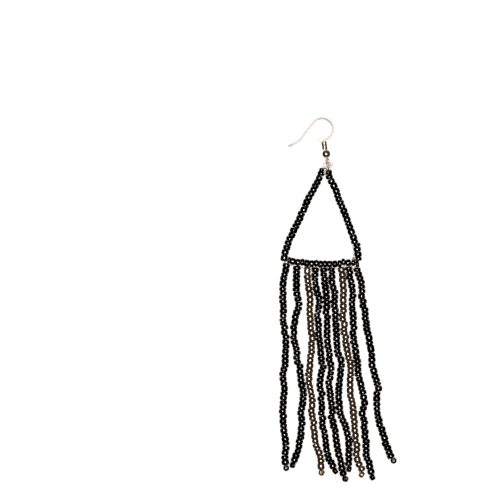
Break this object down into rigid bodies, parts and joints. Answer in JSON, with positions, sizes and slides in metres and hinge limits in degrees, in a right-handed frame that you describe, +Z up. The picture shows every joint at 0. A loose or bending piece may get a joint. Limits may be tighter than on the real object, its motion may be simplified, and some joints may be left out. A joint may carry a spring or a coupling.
{
  "type": "beaded drop earring",
  "caption": "Drop earring of glossy black and bronze seed beads: long loose strands hang from a beaded triangle on a silvery fish-hook ear wire, lying flat.",
  "frame": {"origin": "middle of the outline, on the surface that the earring lies on", "axes": "+Z up from the surface, +Y up the earring to the top of the hook, +X to the right as seen from above"},
  "size_m": [0.042, 0.1312, 0.0029],
  "materials": {
    "silver_wire": "polished",
    "clear_thread": "clear",
    "black_bead": "glossy",
    "bronze_bead": "metallic lustre"
  },
  "bodies": {
    "root": {"ear_hook": "silver_wire", "hook_coil": "silver_wire", "hook_ball": "silver_wire", "jump_ring": "silver_wire", "apex_thread": "clear_thread", "side_left": "black_bead", "side_right": "black_bead", "cross_bar": "black_bead", "fringe_1": "black_bead", "fringe_2": "black_bead", "fringe_3": "bronze_bead", "fringe_4": "black_bead", "fringe_5": "black_bead", "fringe_6": "black_bead", "fringe_7": "bronze_bead", "fringe_8": "black_bead", "fringe_9": "black_bead", "end_bead_1": "black_bead", "end_bead_2": "black_bead", "end_bead_3": "bronze_bead", "end_bead_4": "black_bead", "end_bead_5": "black_bead", "end_bead_6": "black_bead", "end_bead_7": "bronze_bead", "end_bead_8": "black_bead", "end_bead_9": "black_bead"}
  },
  "joints": []
}
